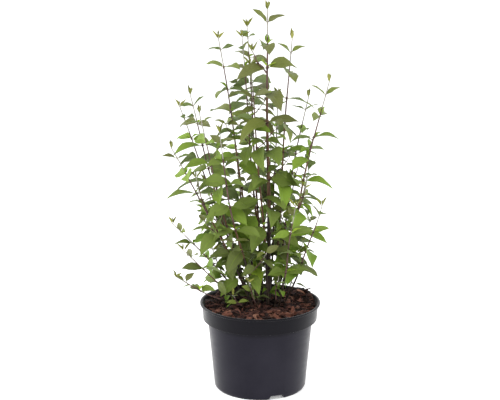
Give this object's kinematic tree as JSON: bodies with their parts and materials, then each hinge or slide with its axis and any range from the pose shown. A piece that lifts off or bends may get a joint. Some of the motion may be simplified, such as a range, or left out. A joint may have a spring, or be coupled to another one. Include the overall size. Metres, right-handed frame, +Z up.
{
  "type": "potted panicle hydrangea",
  "caption": "Young panicle hydrangea in full leaf, with thin upright canes and pointed leaves in opposite pairs, in a round black nursery pot topped with bark mulch.",
  "frame": {"origin": "middle of the pot's flat underside, on the ground", "axes": "+Z up along the pot's axis, -Y towards the viewer of the picture, +X to the right in the picture"},
  "size_m": [0.3281, 0.2808, 0.7397],
  "materials": {
    "pot_plastic": "black moulded polypropylene, satin",
    "potting_mix": "moist peat and bark mix",
    "bark_mulch": "red-brown bark chips",
    "cane_bark": "smooth red-brown bark",
    "leaf_green": "living leaves, fresh green"
  },
  "bodies": {
    "root": {"bark_mulch": "bark_mulch", "cane_back": "cane_bark", "cane_back_left": "cane_bark", "cane_back_low": "cane_bark", "cane_back_middle": "cane_bark", "cane_back_right": "cane_bark", "cane_back_tall": "cane_bark", "cane_front": "cane_bark", "cane_front_right": "cane_bark", "cane_inner_front": "cane_bark", "cane_inner_left": "cane_bark", "cane_left_back": "cane_bark", "cane_left_far": "cane_bark", "cane_left_front": "cane_bark", "cane_left_outer": "cane_bark", "cane_left_tall": "cane_bark", "cane_low_left": "cane_bark", "cane_low_left_front": "cane_bark", "cane_lowest_left": "cane_bark", "cane_main": "cane_bark", "cane_right_back": "cane_bark", "cane_right_far": "cane_bark", "cane_right_low": "cane_bark", "cane_right_tall": "cane_bark", "pot": "pot_plastic", "potting_mix": "potting_mix", "shoot_1": "leaf_green", "shoot_2": "leaf_green", "shoot_3": "leaf_green", "shoot_4": "leaf_green", "shoot_5": "leaf_green", "shoot_6": "leaf_green", "spray_back": "leaf_green", "spray_back_left": "leaf_green", "spray_back_low": "leaf_green", "spray_back_middle": "leaf_green", "spray_back_right": "leaf_green", "spray_back_tall": "leaf_green", "spray_front": "leaf_green", "spray_front_right": "leaf_green", "spray_inner_front": "leaf_green", "spray_inner_left": "leaf_green", "spray_left_back": "leaf_green", "spray_left_far": "leaf_green", "spray_left_front": "leaf_green", "spray_left_outer": "leaf_green", "spray_left_tall": "leaf_green", "spray_low_left": "leaf_green", "spray_low_left_front": "leaf_green", "spray_lowest_left": "leaf_green", "spray_main": "leaf_green", "spray_right_back": "leaf_green", "spray_right_far": "leaf_green", "spray_right_low": "leaf_green", "spray_right_tall": "leaf_green"}
  },
  "joints": []
}
